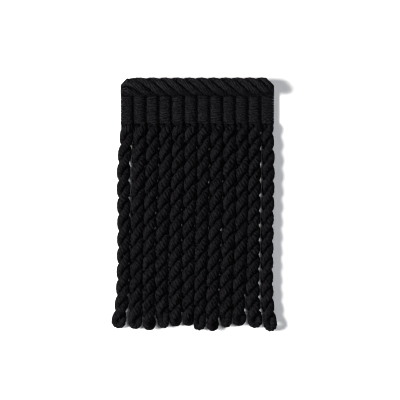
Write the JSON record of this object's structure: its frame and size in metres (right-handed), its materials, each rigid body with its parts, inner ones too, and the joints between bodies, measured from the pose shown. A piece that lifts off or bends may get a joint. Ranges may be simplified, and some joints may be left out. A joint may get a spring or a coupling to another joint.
{
  "type": "bullion fringe trim",
  "caption": "Cut length of black bullion fringe: a skirt of tightly twisted, looped cords hangs from a ribbed woven heading edged with a thicker twisted cord.",
  "frame": {"origin": "middle of the heading's flat back, on the surface that the trim lies on", "axes": "+X along the heading, +Y from the skirt towards the heading's top, +Z out of the face, away from the surface"},
  "size_m": [0.0663, 0.1016, 0.0085],
  "materials": {
    "bullion_yarn": "black spun yarn, tightly twisted, with a soft sheen",
    "cord_yarn": "black filament yarn, softly twisted, with a satin sheen"
  },
  "bodies": {
    "root": {"fringe": "bullion_yarn", "heading_cord": "cord_yarn"}
  },
  "joints": []
}
